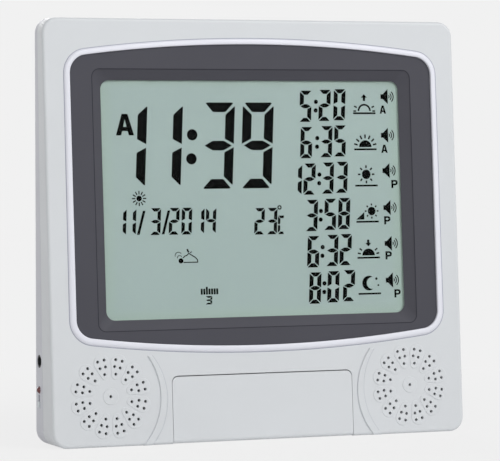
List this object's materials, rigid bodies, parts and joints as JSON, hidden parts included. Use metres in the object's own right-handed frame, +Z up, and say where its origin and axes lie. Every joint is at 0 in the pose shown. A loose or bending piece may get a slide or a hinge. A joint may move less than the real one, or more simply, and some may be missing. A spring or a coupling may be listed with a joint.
{
  "type": "azan clock",
  "caption": "Wedge-shaped digital prayer-time clock: liquid-crystal display in a dark panel, corner loudspeakers, flap over the buttons, for a shelf or a wall",
  "frame": {"origin": "middle of the flat base, midway between the front edge and the rear face", "axes": "+X to the right seen from the front, -Y is the front, +Z up; the rear face is upright and the front face leans back"},
  "size_m": [0.2666, 0.0335, 0.2505],
  "materials": {
    "front_shell": "smooth moulded, semi-gloss",
    "rear_shell": "fine moulded texture",
    "flap_plastic": "smooth moulded, semi-gloss",
    "silver_trim": "silver lacquer",
    "dark_panel": "satin",
    "clear_lens": "clear, polished",
    "lcd": "satin polariser",
    "white_plastic": "plain moulded",
    "grey_rubber": "matt",
    "circuit_board": "solder mask",
    "black_plastic": "moulded",
    "can_metal": "satin",
    "screw_steel": "zinc plated",
    "speaker_steel": "pressed sheet",
    "speaker_paper": "pulp cone",
    "magnet": "ferrite",
    "foam": "cellular",
    "wire_jacket": "extruded jacket",
    "contact_metal": "nickel plated",
    "red_lens": "tinted, polished",
    "switch_metal": "plated can",
    "pale_plastic": "smooth",
    "cell_jacket": "printed foil jacket without marks",
    "button_plastic": "moulded"
  },
  "bodies": {
    "case": {"backlight_panel": "white_plastic", "batteries": "cell_jacket", "battery_leads": "wire_jacket", "battery_plates": "contact_metal", "battery_spring": "contact_metal", "bezel_ring": "silver_trim", "board_capacitors": "can_metal", "board_screws": "screw_steel", "button_cable": "wire_jacket", "button_mat": "grey_rubber", "case_screws": "screw_steel", "clock_crystal": "can_metal", "contact_strips": "grey_rubber", "control_board": "circuit_board", "control_screws": "screw_steel", "dc_jack": "black_plastic", "display_holder": "white_plastic", "display_panel": "dark_panel", "flap_pins": "screw_steel", "front_cover": "front_shell", "holder_screws": "screw_steel", "jack_pin": "contact_metal", "lamp_leads": "contact_metal", "lcd_glass": "lcd", "left_speaker_cone": "speaker_paper", "left_speaker_frame": "speaker_steel", "left_speaker_magnet": "magnet", "main_board": "circuit_board", "main_chips": "black_plastic", "power_lamp": "red_lens", "power_leads": "wire_jacket", "rear_cover": "rear_shell", "right_speaker_cone": "speaker_paper", "right_speaker_frame": "speaker_steel", "right_speaker_magnet": "magnet", "side_board": "circuit_board", "slide_switch": "switch_metal", "speaker_gaskets": "foam", "speaker_leads": "wire_jacket", "speaker_screws": "screw_steel", "speaker_terminals": "circuit_board", "window_lens": "clear_lens"},
    "flap": {"flap_door": "flap_plastic"},
    "battery_door": {"battery_door": "rear_shell"},
    "switch_knob": {"slide_knob": "pale_plastic"},
    "mode_key": {"mode_button": "button_plastic"},
    "set_key": {"set_button": "button_plastic"},
    "alarm_key": {"alarm_button": "button_plastic"},
    "light_key": {"light_button": "button_plastic"},
    "city_key": {"city_button": "button_plastic"},
    "down_key": {"down_button": "button_plastic"},
    "up_key": {"up_button": "button_plastic"},
    "enter_key": {"enter_button": "button_plastic"}
  },
  "joints": [
    {"name": "flap_hinge", "type": "hinge", "parent": "case", "child": "flap", "pos_m": [0, -0.01413, 0.00243], "axis": [1, 0, 0], "range_deg": [0, 90]},
    {"name": "battery_door_hinge", "type": "hinge", "parent": "case", "child": "battery_door", "pos_m": [0, 0.01502, 0.0399], "axis": [-1, 0, 0], "range_deg": [0, 95]},
    {"name": "switch_slide", "type": "slide", "parent": "case", "child": "switch_knob", "axis": [0, 0, 1], "range_m": [0, 0.0036]},
    {"name": "mode_press", "type": "slide", "parent": "case", "child": "mode_key", "axis": [0, 0.9973, -0.0732], "range_m": [0, 0.001], "stiffness_N_per_m": 1000},
    {"name": "set_press", "type": "slide", "parent": "case", "child": "set_key", "axis": [0, 0.9973, -0.0732], "range_m": [0, 0.001], "stiffness_N_per_m": 1000},
    {"name": "alarm_press", "type": "slide", "parent": "case", "child": "alarm_key", "axis": [0, 0.9973, -0.0732], "range_m": [0, 0.001], "stiffness_N_per_m": 1000},
    {"name": "light_press", "type": "slide", "parent": "case", "child": "light_key", "axis": [0, 0.9973, -0.0732], "range_m": [0, 0.001], "stiffness_N_per_m": 1000},
    {"name": "city_press", "type": "slide", "parent": "case", "child": "city_key", "axis": [0, 0.9973, -0.0732], "range_m": [0, 0.001], "stiffness_N_per_m": 1000},
    {"name": "down_press", "type": "slide", "parent": "case", "child": "down_key", "axis": [0, 0.9973, -0.0732], "range_m": [0, 0.001], "stiffness_N_per_m": 1000},
    {"name": "up_press", "type": "slide", "parent": "case", "child": "up_key", "axis": [0, 0.9973, -0.0732], "range_m": [0, 0.001], "stiffness_N_per_m": 1000},
    {"name": "enter_press", "type": "slide", "parent": "case", "child": "enter_key", "axis": [0, 0.9973, -0.0732], "range_m": [0, 0.001], "stiffness_N_per_m": 1000}
  ]
}
